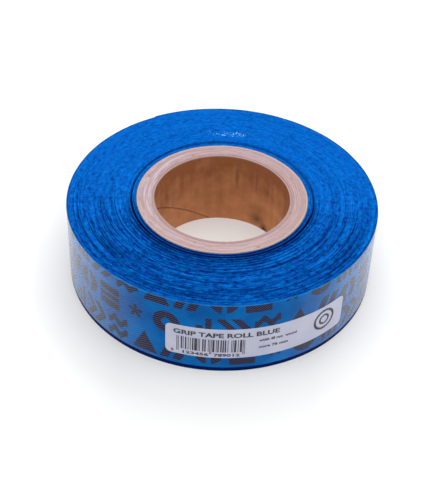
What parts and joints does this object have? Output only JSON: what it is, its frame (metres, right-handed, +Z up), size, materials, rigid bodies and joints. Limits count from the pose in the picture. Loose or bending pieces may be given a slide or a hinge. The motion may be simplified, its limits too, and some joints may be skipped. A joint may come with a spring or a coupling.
{
  "type": "grip tape roll",
  "caption": "Wide roll of blue grip tape with printed release film, wound on a thick spiral paper core; its loose outer end peels off in hinged leaves.",
  "frame": {"origin": "centre of the bore, on the surface that the roll stands on", "axes": "+Z up along the roll's axis; the label's side faces -Y; +X is to the right of someone who looks along +Y"},
  "size_m": [0.174, 0.1745, 0.048],
  "materials": {
    "kraft_liner": "matte",
    "core_board": "matte",
    "grip_band": "matte",
    "printed_film": "gloss",
    "label_paper": "satin"
  },
  "bodies": {
    "roll": {"core_inner_liner": "kraft_liner", "core_ply_1": "core_board", "core_ply_2": "core_board", "core_ply_3": "core_board", "core_ply_4": "core_board", "core_ply_5": "core_board", "core_ply_6": "core_board", "core_outer_liner": "kraft_liner", "band_first_turns": "grip_band", "band_crossover": "grip_band", "band_turns_1": "grip_band", "band_turns_2": "grip_band", "band_turns_3": "grip_band", "band_turns_4": "grip_band", "band_last_turn": "grip_band", "film_last_turn": "printed_film", "roll_label": "label_paper"},
    "tail_1": {"band_tail_1": "grip_band", "film_tail_1": "printed_film"},
    "tail_2": {"band_tail_2": "grip_band", "film_tail_2": "printed_film"},
    "tail_3": {"band_tail_3": "grip_band", "film_tail_3": "printed_film"},
    "tail_4": {"band_tail_4": "grip_band", "film_tail_4": "printed_film"},
    "tail_5": {"band_tail_5": "grip_band", "film_tail_5": "printed_film"},
    "tail_6": {"band_tail_6": "grip_band", "film_tail_6": "printed_film"}
  },
  "joints": [
    {"name": "tail_peel", "type": "hinge", "parent": "roll", "child": "tail_1", "pos_m": [0.0435, 0.07534, 0.024], "axis": [0, 0, -1], "range_deg": [0, 20]},
    {"name": "tail_bend_2", "type": "hinge", "parent": "tail_1", "child": "tail_2", "pos_m": [0.02976, 0.08175, 0.024], "axis": [0, 0, -1], "range_deg": [0, 20]},
    {"name": "tail_bend_3", "type": "hinge", "parent": "tail_2", "child": "tail_3", "pos_m": [0.01511, 0.08568, 0.024], "axis": [0, 0, -1], "range_deg": [0, 20]},
    {"name": "tail_bend_4", "type": "hinge", "parent": "tail_3", "child": "tail_4", "pos_m": [0, 0.087, 0.024], "axis": [0, 0, -1], "range_deg": [0, 20]},
    {"name": "tail_bend_5", "type": "hinge", "parent": "tail_4", "child": "tail_5", "pos_m": [-0.01511, 0.08568, 0.024], "axis": [0, 0, -1], "range_deg": [0, 20]},
    {"name": "tail_bend_6", "type": "hinge", "parent": "tail_5", "child": "tail_6", "pos_m": [-0.02976, 0.08175, 0.024], "axis": [0, 0, -1], "range_deg": [0, 20]}
  ],
  "couplings": [
    {"joint": "tail_bend_2", "follows": "tail_peel", "ratio": 1},
    {"joint": "tail_bend_3", "follows": "tail_peel", "ratio": 1},
    {"joint": "tail_bend_4", "follows": "tail_peel", "ratio": 1},
    {"joint": "tail_bend_5", "follows": "tail_peel", "ratio": 1},
    {"joint": "tail_bend_6", "follows": "tail_peel", "ratio": 1}
  ]
}
